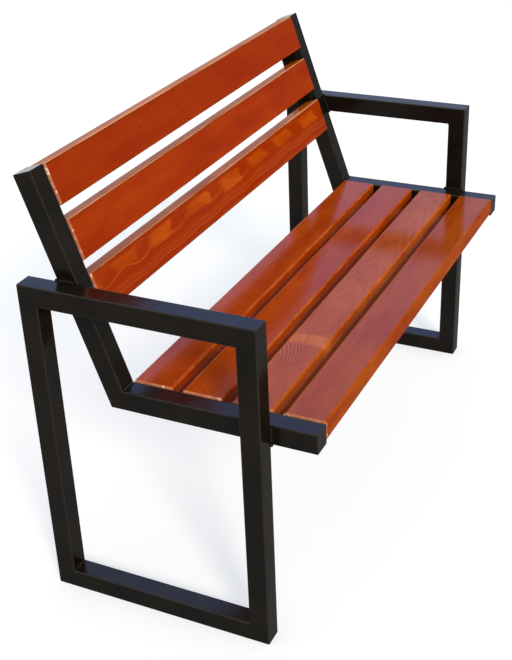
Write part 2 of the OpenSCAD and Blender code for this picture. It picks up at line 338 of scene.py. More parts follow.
coat = {
    "dark": (0.0048, 0.0038, 0.0029),
    "light": (0.0090, 0.0070, 0.0054),
    "tone": {"size": 9.0, "detail": 3.0},
    "toneSpan": (0.35, 0.65),
    # painted highlight: the rounded edges of the tube drawn lighter than its faces
    "edge": (0.022, 0.0190, 0.0160),
    "edgeHighlightShare": 0.7,
    "worn": (0.042, 0.034, 0.027),
    "wear": {"Amount": 0.4, "Size": 90.0},
    "dust": (0.20, 0.19, 0.18),
    "dustFilm": {"Amount": 0.04, "Size": 18.0},
    "smear": {"size": 35.0, "detail": 4.0},
    "smearSpan": (0.3, 0.7, 0.15, 0.27),  # to the roughness under the gloss
    "dustRoughness": 2.0,
    "skin": 0.0,  # specular level under the gloss
    "ior": 1.5,
    "above": {"Low": 0.55, "High": 0.9},
    "glossBelow": 0.165,  # how much of the gloss the upright and underside faces keep
    "glossAbove": 1.0,
    "glossRoughness": 0.18,
    "peel": {"size": 650.0, "detail": 1.5},
    "peelDepth": 0.00005,
}


def makePowderCoat():
    material, tree, shader = newMaterial("powderCoat")
    place = objectPlace(tree)
    edge = markOf(tree, "arris")
    worn = useGroup(tree, edgeWear, {"Vector": place, "Edge": edge, **coat["wear"]})[0]
    dust = useGroup(tree, dustFilm, {"Vector": place, **coat["dustFilm"]})[0]
    above = useGroup(tree, faceUp, coat["above"])[0]
    tone = stretch(noise(place, **coat["tone"]), *coat["toneSpan"])
    colour = blendColours(tone, coat["dark"], coat["light"])
    # painted highlight along the rounded edges
    colour = blendColours(times(edge, coat["edgeHighlightShare"]), colour, coat["edge"])
    colour = blendColours(worn, colour, coat["worn"])
    smear = stretch(noise(place, **coat["smear"]), *coat["smearSpan"])
    setInputs(shader, {
        "Base Color": blendColours(dust, colour, coat["dust"]),
        "Roughness": plus(smear, times(dust, coat["dustRoughness"])),
        "Specular IOR Level": coat["skin"],
        "IOR": coat["ior"],
        "Coat Weight": stretch(above, 0.0, 1.0, coat["glossBelow"], coat["glossAbove"]),
        "Coat Roughness": coat["glossRoughness"],
        "Normal": bumped(noise(place, **coat["peel"]), coat["peelDepth"]),
    })
    return material


zinc = {
    "colour": (0.50, 0.51, 0.52),
    "yellowed": (0.46, 0.42, 0.30),
    "bright": (0.7, 0.7, 0.7),
    "film": {"size": 160.0, "detail": 4.0},
    "filmSpan": (0.4, 0.7, 0.0, 0.6),
    "roughSpan": (0.3, 0.7, 0.24, 0.42),
    "wear": {"Amount": 0.6, "Size": 300.0},
    "scratch": {"size": 1200.0, "detail": 2.0},
    "scratchDepth": 0.00003,
}


def makeZinc():
    material, tree, shader = newMaterial("zincPlate")
    place = objectPlace(tree)
    film = noise(place, **zinc["film"])
    worn = useGroup(tree, edgeWear, {"Vector": place, "Edge": markOf(tree, "arris"), **zinc["wear"]})[0]
    colour = blendColours(stretch(film, *zinc["filmSpan"]), zinc["colour"], zinc["yellowed"])
    setInputs(shader, {
        "Base Color": blendColours(worn, colour, zinc["bright"]),
        "Roughness": stretch(film, *zinc["roughSpan"]),
        "Metallic": 1.0,
        "Normal": bumped(noise(place, **zinc["scratch"]), zinc["scratchDepth"]),
    })
    return material


# Varnished timber: every effect is painted over the ones before, in the board's own frame

varnish = {
    "pale": (0.54, 0.095, 0.0040),
    "late": (0.225, 0.014, 0.0007),
    "deep": (0.28, 0.018, 0.0010),
    # painted shade, used low in the gaps between seat slats and in a line on the back slats' top edges
    "paintedShade": (0.12, 0.0075, 0.0006),
    # the end rims: worn paler wood, with a painted reflection of the sky
    "endArris": (0.62, 0.25, 0.15),
    # the end faces: paler end grain, with painted sunlight
    "endGrain": (0.50, 0.19, 0.095),
    # paler orange for streaks, pale tops, the knot's band and worn edges; on the worn edges it is also a
    # painted highlight
    "streak": (0.66, 0.17, 0.018),
    # pale tint for varnish nibs, grain strokes and the painted highlight on the back slats' top edges
    "nib": (0.80, 0.50, 0.32),
    # near-white flecks on the end rims: painted glints with chipped varnish
    "glintFleck": (0.92, 0.74, 0.60),
    "cloudSpan": (0.38, 0.68),
    "fibreSpans": [(0.35, 0.7), (0.57, 0.66)],
    "wearSize": 42.0,
    "endShare": 0.8,
    "chipsAndGlints": {"size": 85.0, "detail": 3.0},
    "chipAndGlintSpans": {"endArris": (0.42, 0.60, 0.15, 0.9), "glintFleck": (0.60, 0.64, 0.0, 0.9)},
    "roughSpan": (0.3, 0.7, 0.19, 0.27),
    "skin": 0.0,  # specular level of the timber under its clear varnish
    "ior": 1.45,
    "above": {"Low": 0.72, "High": 0.93},
    "glossBelow": 0.06,  # how much of the clear varnish the upright and underside faces keep
    "glossAbove": 0.9,
    "glossRoughness": 0.14,
    "rubbedEdge": 0.85,  # gloss lost along an edge, and kept where the edge is worn pale
    "rubbedBack": 1.1,
    "wave": {"size": 40.0, "detail": 1.0, "drawn": 0.3},
    "relief": {"wave": 8.0, "ring": -0.35, "fibre": 0.25, "nib": 1.5},  # in units of reliefDepth
    "reliefDepth": 0.0001,
}


def readBoard(tree, centre, turn, figure):
    place = objectPlace(tree)
    local = seenFrom(place, centre, (turn, 0, 0))
    grain = useGroup(tree, timberFigure, {"Vector": local, **figure["growth"]})
    board = {label.lower(): grain[label] for label in ("Ring", "Tone", "Fibre", "Cloud", "Phase")}
    board["x"], board["y"], board["z"] = splitVector(local)
    board["place"], board["wave"] = place, noise(local, **varnish["wave"])
    for key, mark in (("edge", "arris"), ("end", "endGrain"), ("rim", "endArris")):
        board[key] = markOf(tree, mark)
    board["above"] = useGroup(tree, faceUp, varnish["above"])[0]
    return board


def paint(colour, name, *masks):
    return blendColours(times(*masks), colour, varnish[name])


# A row of lighter patches above the middle of the board

def paintFlame(board, colour, flame):
    ring, z, cloud = board["ring"], board["z"], board["cloud"]
    shifted = plus(board["phase"], times(z, flame["slant"]), times(board["fibre"], flame["fray"]))
    shifted = maths("FRACT", shifted)
    length = times(stretch(shifted, *flame["begins"]), stretch(shifted, *flame["ends"]))
    sag = minus(z, times(minus(cloud, 0.5), flame["sag"]))
    height = times(stretch(sag, flame["low"], flame["low"] + flame["softLow"]),
                   stretch(z, flame["high"] - flame["softHigh"], flame["high"], 1.0, 0.0))
    fore = stretch(board["y"], *flame["frontFace"])
    colour = paint(colour, "pale", length, height, fore, stretch(cloud, *flame["share"]))
    thread = times(stretch(ring, *flame["threadIn"]), stretch(ring, *flame["threadOut"]))
    below = stretch(z, flame["low"] + flame["softStreaks"], flame["low"])
    colour = paint(colour, "streak", thread, stretch(board["tone"], *flame["streaks"]), below)
    board["ring"] = times(ring, stretch(z, *flame["fewRings"]))
    return colour


# A lighter band past the knot, partly paler wood and partly a painted sunlit patch, and lines that fan out
# from it

def paintKnotBand(board, colour, band, knot):
    fibre, cloud = board["fibre"], board["cloud"]
    aside = minus(board["y"], knot[1])
    past = plus(minus(board["x"], knot[0] + band["middle"]),
                times(aside, aside, band["curve"]), times(cloud, band["waver"]))
    lighter = times(stretch(past, *band["begins"]), stretch(past, *band["ends"]))
    colour = paint(colour, "streak", lighter, band["share"])
    away = stretch(past, band["fanStart"], band["fanStart"] - band["reach"])
    turned = minus(away, times(away, away, 0.5))  # the lines turn lengthways as they run out
    fan = plus(aside, times(turned, band["reach"] * band["slope"]),
               times(cloud, band["sway"]), times(fibre, band["fray"]))
    stroke = maths("FRACT", maths("DIVIDE", fan, band["ring"]))
    dark = times(stretch(stroke, *band["darkIn"]), stretch(stroke, *band["darkOut"]))
    farEnd = band["fanStart"] - band["fade"] * band["reach"]
    near = times(stretch(past, farEnd, band["fullFrom"], 0.0, band["contrast"]),
                 stretch(past, *band["clearOfBand"]), stretch(fibre, *band["patchy"]),
                 stretch(aside, *band["weakSide"]), board["above"])
    colour = paint(colour, "late", dark, near)
    return paint(colour, "nib", stretch(stroke, *band["paleSpan"]), near)


topEdge = {  # the upper faces and edges of the back slats: paler and mottled, with a painted highlight along the top arris and a painted shade line below it
    "paleFrom": (0.36, 0.62, 0.25),
    "fibreSpan": (0.48, 0.60, 0.0, 0.45),
    "steep": {"Low": 0.38, "High": 0.48},
    "flat": {"Low": 0.74, "High": 0.82},
    "highlightBreakup": (0.38, 0.62, 0.15, 0.6),
}


def paintTopEdge(board, colour, share):
    above, edge, cloud = board["above"], board["edge"], board["cloud"]
    colour = paint(colour, "streak", above, stretch(cloud, *topEdge["paleFrom"], share))
    colour = paint(colour, "late", above, stretch(board["fibre"], *topEdge["fibreSpan"]))
    flat, steep = (useGroup(colour.id_data, faceUp, topEdge[key])[0] for key in ("flat", "steep"))
    # painted shade: a dark line low on the rounded top edge
    colour = paint(colour, "paintedShade", edge, minus(steep, flat))
    # painted highlight: a pale broken line high on the rounded top edge
    return paint(colour, "nib", edge, times(flat, stretch(cloud, *topEdge["highlightBreakup"])))


gapFaces = {  # the faces between two seat slats: redder sides, with painted shade on their lower part, where the neighbouring slat shades them
    "redder": (0.4, 0.6, 0.1, 0.4),
    "outermost": (0.0372, 0.0386),
    "waver": 0.006,
    "lower": (-0.001, -0.009, 0.0, 0.5),
}


def paintGapFaces(board, colour, sides):
    upright = stretch(board["above"], 0.0, 1.0, 1.0, 0.0)
    colour = paint(colour, "late", upright, stretch(board["cloud"], *gapFaces["redder"]))
    side = board["y"] if sides == "rear" else maths("ABSOLUTE", board["y"])
    wavy = plus(board["z"], times(board["cloud"], gapFaces["waver"]))
    # painted shade on the lower part of the gap faces
    return paint(colour, "paintedShade", stretch(side, *gapFaces["outermost"]),
                 stretch(wavy, *gapFaces["lower"]))


nibs = {  # pale specks set in the varnish, which also stand in as painted glints
    "size": 55.0,
    "spot": (0.03, 0.09, 1.0, 0.0),
    "few": 0.86,
    "share": 0.35,
}


def nibMask(tree, place):
    dots = addNode(tree, "ShaderNodeTexVoronoi", {"Vector": place, "Scale": nibs["size"]}).outputs
    chance = addNode(tree, "ShaderNodeSeparateColor", {"Color": dots["Color"]}).outputs[0]
    spot = stretch(dots["Distance"], *nibs["spot"])
    return times(spot, maths("GREATER_THAN", chance, nibs["few"]))


def makeTimber(name, centre, turn, figure):
    material, tree, shader = newMaterial(name)
    board = readBoard(tree, centre, turn, figure)
    patches = times(board["tone"], figure["patches"])
    colour = blendColours(patches, figure["body"], varnish["pale"])
    colour = paint(colour, "deep", stretch(board["cloud"], *varnish["cloudSpan"], 0.0, figure["clouds"]))
    if "flame" in figure:
        colour = paintFlame(board, colour, figure["flame"])
    if "knotBand" in figure:
        colour = paintKnotBand(board, colour, figure["knotBand"], figure["growth"]["Knot"])
    colour = paint(colour, "late", board["ring"], figure["contrast"])
    for span in varnish["fibreSpans"]:
        colour = paint(colour, "late", stretch(board["fibre"], *span, 0.0, figure["fibre"]))
    if "paleTops" in figure:
        colour = paintTopEdge(board, colour, figure["paleTops"])
    if "gapFaces" in figure:
        colour = paintGapFaces(board, colour, figure["gapFaces"])
    worn = useGroup(tree, edgeWear, {"Vector": board["place"], "Edge": board["edge"],
                                     "Amount": figure["worn"], "Size": varnish["wearSize"]})[0]
    # paler worn edges, also a painted highlight along the arrises
    colour = paint(colour, "streak", worn)
    # paler end faces: end grain, with painted sunlight
    colour = paint(colour, "endGrain", board["end"], varnish["endShare"])
    # broken pale end rims: worn wood with a painted sky reflection, and near-white painted glints
    chipsAndGlints = noise(board["place"], **varnish["chipsAndGlints"])
    for tint, span in varnish["chipAndGlintSpans"].items():
        colour = paint(colour, tint, board["rim"], stretch(chipsAndGlints, *span))
    # pale varnish nibs, which also stand in for painted glints
    board["nib"] = nibMask(tree, board["place"])
    colour = paint(colour, "nib", board["nib"], nibs["share"])
    gloss = stretch(board["above"], 0.0, 1.0,
                    varnish["glossBelow"], varnish["glossAbove"] * figure["gloss"])
    rubbed = minus(times(board["edge"], varnish["rubbedEdge"]), times(worn, varnish["rubbedBack"]))
    raised = plus(*[times(board[key], rise) for key, rise in varnish["relief"].items()])
    setInputs(shader, {
        "Base Color": colour,
        "Roughness": stretch(board["fibre"], *varnish["roughSpan"]),
        "Specular IOR Level": varnish["skin"],
        "IOR": varnish["ior"],
        "Coat Weight": times(gloss, minus(1.0, rubbed)),
        "Coat Roughness": varnish["glossRoughness"],
        "Normal": bumped(raised, varnish["reliefDepth"]),
    })
    return material


powderCoat = makePowderCoat()
zincPlate = makeZinc()
print("finishes built")


# Meshes

meshing = {"merge": 1e-6, "sharpAngle": 35.0, "normalWeight": 100}


def finishPiece(name, mesh, material, node):
    mesh.name = name
    mesh.materials.clear()
    mesh.materials.append(material)
    piece = addObject(name, mesh)
    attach(piece, "root")
    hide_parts(node)


def bakeMesh(holder):  # what the modifiers give, as a plain mesh; the holder goes
    bpy.context.view_layer.update()
    mesh = bpy.data.meshes.new_from_object(holder.evaluated_get(bpy.context.evaluated_depsgraph_get()))
    bpy.data.objects.remove(holder)
    return mesh


def smoothMesh(mesh, sharpAngle=meshing["sharpAngle"]):
    work = bmesh.new()
    work.from_mesh(mesh)
    bmesh.ops.remove_doubles(work, verts=work.verts, dist=meshing["merge"])
    bmesh.ops.recalc_face_normals(work, faces=work.faces)
    for face in work.faces:
        face.smooth = True
    for edge in work.edges:
        edge.smooth = len(edge.link_faces) == 2 and edge.calc_face_angle(0) < math.radians(sharpAngle)
    work.to_mesh(mesh)
    work.free()
    holder = addObject("holder", mesh)
    weighted = holder.modifiers.new("weighted", "WEIGHTED_NORMAL")
    weighted.keep_sharp = True
    weighted.weight = meshing["normalWeight"]
    return bakeMesh(holder)


def joinRings(work, rings):
    for ringA, ringB in rings:
        for i, vert in enumerate(ringA):
            follower = (i + 1) % len(ringA)
            work.faces.new((vert, ringA[follower], ringB[follower], ringB[i]))


def takeMesh(work, name):
    mesh = bpy.data.meshes.new(name)
    work.to_mesh(mesh)
    work.free()
    return smoothMesh(mesh)


# Square tube of the frames, with round corners, a hollow core and mitred ends

tube = {
    "cornerRadius": 0.003,
    "cornerSteps": 5,
    "wall": 0.002,
    "mitreEase": 0.002,  # the corner's outer edge, ground after welding
    "easeSteps": 4,
    "lean": 19.0,
}


def tubeSection(size, radius):
    points = []
    half, steps = size / 2, tube["cornerSteps"]
    for quarter in range(4):
        signX = 1 if quarter in (0, 3) else -1
        signD = 1 if quarter in (0, 1) else -1
        for step in range(steps + 1):
            share = step / steps
            angle = (quarter + share) * math.pi / 2
            across = signX * (half - radius) + radius * math.cos(angle)
            depth = half + signD * (half - radius) + radius * math.sin(angle)
            points.append((across, depth, math.sin(share * math.pi)))
    return points


def mitredTube(centreX, start, finish, outward, halfTurns):
    ease = tube["mitreEase"]
    start, finish, outward = Vector(start), Vector(finish), Vector(outward).normalized()
    along = (finish - start).normalized()
    length = (finish - start).length
    work = bmesh.new()
    edgeLayer = work.verts.layers.float.new("arris")

    def addRing(section, inset, place):
        ring = []
        for across, depth, edge in section:
            run, depth, extra = place(depth + inset)
            flat = start + along * run - outward * depth
            vert = work.verts.new((centreX + across, flat.x, flat.y))
            vert[edgeLayer] = max(edge, extra) if inset == 0 else 0.0
            ring.append(vert)
        return ring

    def easedEnd(halfTurn, share):
        slope = math.tan(halfTurn)

        def place(depth):
            if halfTurn == 0:
                return share * ease, depth, 0.0
            if depth >= ease:
                return depth * slope + share * ease, depth, 0.0
            angle = halfTurn * (1 - share)
            run = ease * slope - (ease - depth) * math.sin(angle)
            return run, ease - (ease - depth) * math.cos(angle), 1.0 - share
        return place

    def plainEnd(halfTurn):
        return lambda depth: (depth * math.tan(halfTurn), depth, 0.0)

    def fromFinish(place):
        def placed(depth):
            run, depth, extra = place(depth)
            return length - run, depth, extra
        return placed

    wall, radius = tube["wall"], tube["cornerRadius"]
    outer, inner = tubeSection(tubeSize, radius), tubeSection(tubeSize - 2 * wall, radius - wall)
    shares = [i / tube["easeSteps"] for i in range(tube["easeSteps"] + 1)]
    rings = [addRing(outer, 0, easedEnd(halfTurns[0], share)) for share in shares]
    rings += [addRing(outer, 0, fromFinish(easedEnd(halfTurns[1], share))) for share in reversed(shares)]
    rings += [addRing(inner, wall, fromFinish(plainEnd(halfTurns[1])))]
    rings += [addRing(inner, wall, plainEnd(halfTurns[0]))]
    joinRings(work, zip(rings, rings[1:] + rings[:1]))
    return takeMesh(work, "tube")


plate = {  # the section of the rim is inset and run, by the rim's radius
    "rim": 0.001,
    "section": [(1.0, 0.0), (0.45, 0.0), (0.2, 0.15), (0.0, 0.5), (0.0, 1.0)],
    "cornerMark": 0.6,
}


def endPlate(centreX, corner, along, outward, thickness):
    corner, along, outward, rim = Vector(corner), Vector(along), Vector(outward), plate["rim"]
    work = bmesh.new()
    edgeLayer = work.verts.layers.float.new("arris")
    rings = []
    for inset, run in plate["section"] + [(0.0, thickness / rim)]:
        ring = []
        gap = inset * rim
        for across, depth, edge in tubeSection(tubeSize - 2 * gap, tube["cornerRadius"] - gap):
            flat = corner + along * (run * rim) - outward * (depth + gap)
            vert = work.verts.new((centreX + across, flat.x, flat.y))
            vert[edgeLayer] = max(plate["cornerMark"] * edge, 1.0 if 0 < inset < 1 else 0.0)
            ring.append(vert)
        rings.append(ring)
    joinRings(work, zip(rings, rings[1:]))
    work.faces.new(rings[0])
    work.faces.new(rings[-1])
    return takeMesh(work, "plate")


lean = math.radians(tube["lean"])
legLow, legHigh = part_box("left_front_leg")
capLow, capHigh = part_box("left_bearer_cap")
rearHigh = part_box("left_rear_leg")[1]
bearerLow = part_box("left_seat_bearer")[0]
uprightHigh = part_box("left_back_upright")[1]
tubeSize = legHigh.x - legLow.x
front, rear, top = legLow.y, rearHigh.y, legHigh.z
upward = Vector((math.sin(lean), math.cos(lean)))
backward = Vector((math.cos(lean), -math.sin(lean)))
capThickness = capHigh.y - capLow.y
uprightLength = (uprightHigh.z - bearerLow.z - tubeSize * math.sin(lean)) / math.cos(lean)
knee = Vector((uprightHigh.y - uprightLength * math.sin(lean), bearerLow.z))
quarterTurn, kneeTurn = math.pi / 4, (math.pi / 2 - lean) / 2
benchSides = (("left", -1), ("right", 1))


def buildFrames():
    loop = (quarterTurn, quarterTurn)
    for side, sign in benchSides:
        loopX = sign * abs(legLow.x + tubeSize / 2)
        bearerX = sign * abs(bearerLow.x + tubeSize / 2)
        uprightEnd = knee + upward * uprightLength
        capEnd = uprightEnd + upward * capThickness
        parts = {
            "front_leg": mitredTube(loopX, (front, 0), (front, top), (-1, 0), loop),
            "rear_leg": mitredTube(loopX, (rear, top), (rear, 0), (1, 0), loop),
            "armrest": mitredTube(loopX, (front, top), (rear, top), (0, 1), loop),
            "floor_rail": mitredTube(loopX, (rear, 0), (front, 0), (0, -1), loop),
            "seat_bearer": mitredTube(bearerX, knee, (bearerLow.y, knee.y), (0, -1), (kneeTurn, 0)),
            "back_upright": mitredTube(bearerX, uprightEnd, knee, backward, (0, kneeTurn)),
            "bearer_cap": endPlate(bearerX, (capLow.y, knee.y), (1, 0), (0, -1), capThickness),
            "upright_cap": endPlate(bearerX, capEnd, -upward, backward, capThickness),
        }
        for part, mesh in parts.items():
            finishPiece(f"{side}_{part}_steel", mesh, powderCoat, f"{side}_{part}")
        for part in ("seat_strip", "back_strip"):
            node = frame["nodes"][f"{side}_{part}"]
            node.data.materials.clear()
            node.data.materials.append(powderCoat)


buildFrames()
print("frames built")


# Helpers for Geometry Nodes

def shape(tree, kind, values=None, **settings):
    return addNode(tree, "GeometryNode" + kind, values, **settings).outputs[0]


def newShapeTree(name, inputs):
    return newGroup(name, {"Geometry": "Geometry", **inputs, "Material": "Material"},
                    {"Geometry": "Geometry"}, "GeometryNodeTree")


def finishTree(tree, inside, out, geometry):
    real = shape(tree, "RealizeInstances", {"Geometry": geometry})
    painted = shape(tree, "SetMaterial", {"Geometry": real, "Material": inside["Material"]})
    setInputs(out, {"Geometry": painted})
    return tree


def growTree(tree, values, base=None):
    holder = addObject("holder", base or bpy.data.meshes.new("holder"))
    build = holder.modifiers.new("build", "NODES")
    build.node_group = tree
    for socket in tree.interface.items_tree:
        if socket.in_out == "INPUT" and socket.name in values:
            build[socket.identifier] = values[socket.name]
    return holder


def pointMesh(places, edges=(), **layers):
    mesh = bpy.data.meshes.new("points")
    mesh.from_pydata([tuple(place) for place in places], list(edges), [])
    for name, values in layers.items():
        if isinstance(values[0], (int, float)):
            mesh.attributes.new(name, "FLOAT", "POINT").data.foreach_set("value", values)
        else:
            flat = [number for vector in values for number in vector]
            mesh.attributes.new(name, "FLOAT_VECTOR", "POINT").data.foreach_set("vector", flat)
    return mesh


def readLayer(tree, name, kind="FLOAT"):
    return shape(tree, "InputNamedAttribute", {"Name": name}, data_type=kind)


def storeLayer(geometry, name, value, kind="FLOAT", domain="POINT"):
    return shape(geometry.id_data, "StoreNamedAttribute",
                 {"Geometry": geometry, "Name": name, "Value": value}, data_type=kind, domain=domain)


def circle(tree, sides, radius=1.0):
    return shape(tree, "CurvePrimitiveCircle", {"Resolution": sides, "Radius": radius}, mode="RADIUS")


def roundRod(curve, sides, radius):
    tree = curve.id_data
    return shape(tree, "CurveToMesh", {"Curve": curve, "Profile Curve": circle(tree, sides),
                                       "Scale": radius, "Fill Caps": True})


# Weld beads: each is grown along its own line, with a domed end and the ripples of the welding

weld = {
    "jointRadius": 0.004,
    "stitchRadius": 0.0035,
    "cornerGap": 0.0005,  # between two beads that end at one corner of a joint
    "stitchLength": 0.030,
    "stitches": 3,
    "bead": {
        "Step": 0.0003,
        "Sides": 16,
        "Pitch": 0.0017,
        "Ripple Depth": 0.0004,
        "Sweep": 0.0024,  # how far a ripple's middle runs ahead of its sides
        "Wander": 0.0012,
    },
    "drift": {"size": 160.0, "detail": 2.0},
    "leastGirth": 0.0001,
    "sharpAngle": 60.0,
}


def makeBeadTree():
    tree, inside, out = newShapeTree("weldBead", weld["bead"])
    line = shape(tree, "MeshToCurve", {"Mesh": inside["Geometry"]})
    fine = shape(tree, "ResampleCurve", {"Curve": line, "Length": inside["Step"]}, mode="LENGTH")
    radius = readLayer(tree, "beadRadius")
    along = addNode(tree, "GeometryNodeSplineParameter").outputs["Length"]
    whole = addNode(tree, "GeometryNodeSplineLength").outputs["Length"]
    toEnd = maths("MINIMUM", along, minus(whole, along))
    inDome = maths("MAXIMUM", minus(radius, toEnd), 0.0)
    girth = minus(times(radius, radius), times(inDome, inDome))
    girth = maths("SQRT", maths("MAXIMUM", girth, 0.0))
    girth = maths("MAXIMUM", girth, weld["leastGirth"])
    kept = storeLayer(fine, "beadAlong", along)
    kept = storeLayer(kept, "beadGirth", girth)
    kept = storeLayer(kept, "beadMiddle", shape(tree, "InputPosition"), "FLOAT_VECTOR")
    rod = roundRod(kept, inside["Sides"], readLayer(tree, "beadGirth"))
    place = shape(tree, "InputPosition")
    outward = vectorMaths("SUBTRACT", place, readLayer(tree, "beadMiddle", "FLOAT_VECTOR"))
    outward = vectorMaths("NORMALIZE", outward)
    crown = vectorMaths("NORMALIZE", readLayer(tree, "beadCrown", "FLOAT_VECTOR"))
    facing = vectorMaths("DOT_PRODUCT", outward, crown)
    behind = times(minus(1.0, facing), inside["Sweep"])
    drift = times(noise(place, **weld["drift"]), inside["Wander"])
    run = plus(minus(readLayer(tree, "beadAlong"), behind), drift)
    halfWaves = maths("DIVIDE", run, inside["Pitch"])
    scallop = maths("ABSOLUTE", maths("SINE", times(halfWaves, math.pi)))
    slimness = maths("DIVIDE", readLayer(tree, "beadGirth"), radius)
    dip = times(minus(scallop, 1.0), inside["Ripple Depth"], slimness)
    shift = vectorMaths("SCALE", outward, dip)
    return finishTree(tree, inside, out, shape(tree, "SetPosition", {"Geometry": rod, "Offset": shift}))


def uprightFront(height):
    return knee.x + (height - knee.y) * math.tan(lean) - tubeSize / math.cos(lean)


def spanAlong(node, origin, direction):
    runs = [(Vector(vert.co.yz) - origin).dot(direction) for vert in frame["nodes"][node].data.vertices]
    return min(runs), max(runs)


def beadLines(side, sign):
    jointX, innerX, outerX = (sign * x for x in (abs(legHigh.x), abs(legHigh.x) - tubeSize, abs(legLow.x)))
    setback = 2 * weld["jointRadius"] + weld["cornerGap"]
    low, high = knee.y, knee.y + tubeSize
    across = tubeSize / math.cos(lean)
    lines = []

    def addLine(start, finish, crown, radius=weld["jointRadius"]):
        lines.append((Vector(start), Vector(finish), radius, crown))

    for y, fore in ((front, -1), (front + tubeSize, 1)):  # bearer's outer face, before and behind the leg
        addLine((jointX, y, low + setback), (jointX, y, high - setback), (sign, fore, 0))
    for z, up in ((low, -1), (high, 1)):  # leg's inner face, under and over the bearer
        addLine((jointX, front, z), (jointX, front + tubeSize, z), (-sign, 0, up))
    for z, up in ((top - tubeSize, -1), (top, 1)):  # upright's outer face, under and over the armrest
        start = uprightFront(z) + setback
        addLine((jointX, start, z), (jointX, start + across - 2 * setback, z), (sign, 0, up))
    foot = (top - tubeSize - low) / math.cos(lean)
    for depth, away in ((-tubeSize, -1), (0, 1)):  # armrest's inner face, before and behind the upright
        start = knee + backward * depth + upward * (foot + depth * math.tan(lean))
        addLine((jointX, *start), (jointX, *(start + upward * across)), (-sign, *(backward * away)))
    for y, fore in ((front + tubeSize, 1), (rear - tubeSize, -1)):  # inner corners of the loop
        for z, up in ((tubeSize, 1), (top - tubeSize, -1)):
            addLine((outerX - sign * setback, y, z), (jointX + sign * setback, y, z), (0, fore, up))
    bend = (uprightFront(high), high)
    addLine((jointX - sign * setback, *bend), (innerX + sign * setback, *bend),
            (0, *(Vector((0, 1)) - backward)))
    strips = {"seat_strip": (Vector((0, low)), Vector((1, 0)), Vector((0, -1))),
              "back_strip": (knee, upward, backward)}
    for node, (origin, direction, away) in strips.items():
        begin, finish = spanAlong(f"{side}_{node}", origin, direction)
        step = (finish - begin) / weld["stitches"]
        for i in range(weld["stitches"]):
            middle = begin + (i + 0.5) * step
            ends = [origin + direction * (middle + way * weld["stitchLength"] / 2) for way in (-1, 1)]
            addLine((innerX, *ends[0]), (innerX, *ends[1]), (0, *away), weld["stitchRadius"])
    return lines


def buildWelds():
    tree = makeBeadTree()
    for side, sign in benchSides:
        places, edges, radii, crowns = [], [], [], []
        for start, finish, radius, crown in beadLines(side, sign):
            dome = (finish - start).normalized() * radius
            edges.append((len(places), len(places) + 1))
            places += [start - dome, finish + dome]
            radii += [radius, radius]
            crowns += [crown, crown]
        base = pointMesh(places, edges, beadRadius=radii, beadCrown=crowns)
        mesh = bakeMesh(growTree(tree, {**weld["bead"], "Material": powderCoat}, base))
        for spare in [layer.name for layer in mesh.attributes if layer.name.startswith("bead")]:
            mesh.attributes.remove(mesh.attributes[spare])
        mesh = smoothMesh(mesh, weld["sharpAngle"])
        finishPiece(f"{side}_weld_beads", mesh, powderCoat, f"{side}_welds")
        print(side, "weld beads:", len(mesh.polygons), "faces")


buildWelds()


# Slats: the figure of each board is its own, and lengths along a board are from its middle

seatFigure = {"gloss": 1.0, "worn": 0.5, "fibre": 0.30, "patches": 0.2, "clouds": 0.5, "gapFaces": "both"}
backFigure = {"gloss": 0.34, "worn": 0.25, "fibre": 0.13, "clouds": 0.7, "paleTops": 0.75}

knotBand = {
    "middle": 0.024,  # from the knot to the band's middle
    "curve": 6.0,
    "waver": 0.008,
    "begins": (-0.038, -0.022),
    "ends": (0.004, 0.007, 1.0, 0.0),
    "share": 0.95,
    "ring": 0.0060,  # between two lines of the fan
    "reach": 0.10,
    "slope": 0.42,
    "sway": 0.02,
    "fray": 0.003,
    "fanStart": -0.026,
    "fade": 1.2,  # where the fan has gone, by its reach
    "fullFrom": -0.05,
    "clearOfBand": (-0.022, -0.036),
    "contrast": 0.85,
    "darkIn": (0.4, 0.8),
    "darkOut": (0.85, 1.0, 1.0, 0.0),
    "paleSpan": (0.1, 0.3, 0.35, 0.0),
    "patchy": (0.42, 0.56, 0.3, 1.0),
    "weakSide": (-0.020, 0.015, 0.25, 1.0),
}

flameFigure = {
    "low": 0.002,  # the patches' lower and upper ends, above the board's middle
    "high": 0.031,
    "softLow": 0.004,
    "softHigh": 0.003,
    "sag": 0.03,
    "slant": 2.5,
    "fray": 0.06,
    "begins": (0.08, 0.22),
    "ends": (0.72, 0.76, 1.0, 0.0),
    "frontFace": (-0.012, -0.017),
    "share": (0.36, 0.60, 0.8, 0.35),
    "threadIn": (0.0, 0.02),
    "threadOut": (0.10, 0.26, 1.0, 0.0),
    "streaks": (0.30, 0.45, 0.0, 0.6),
    "softStreaks": 0.008,
    "fewRings": (0.014, -0.008, 0.22, 1.0),
}

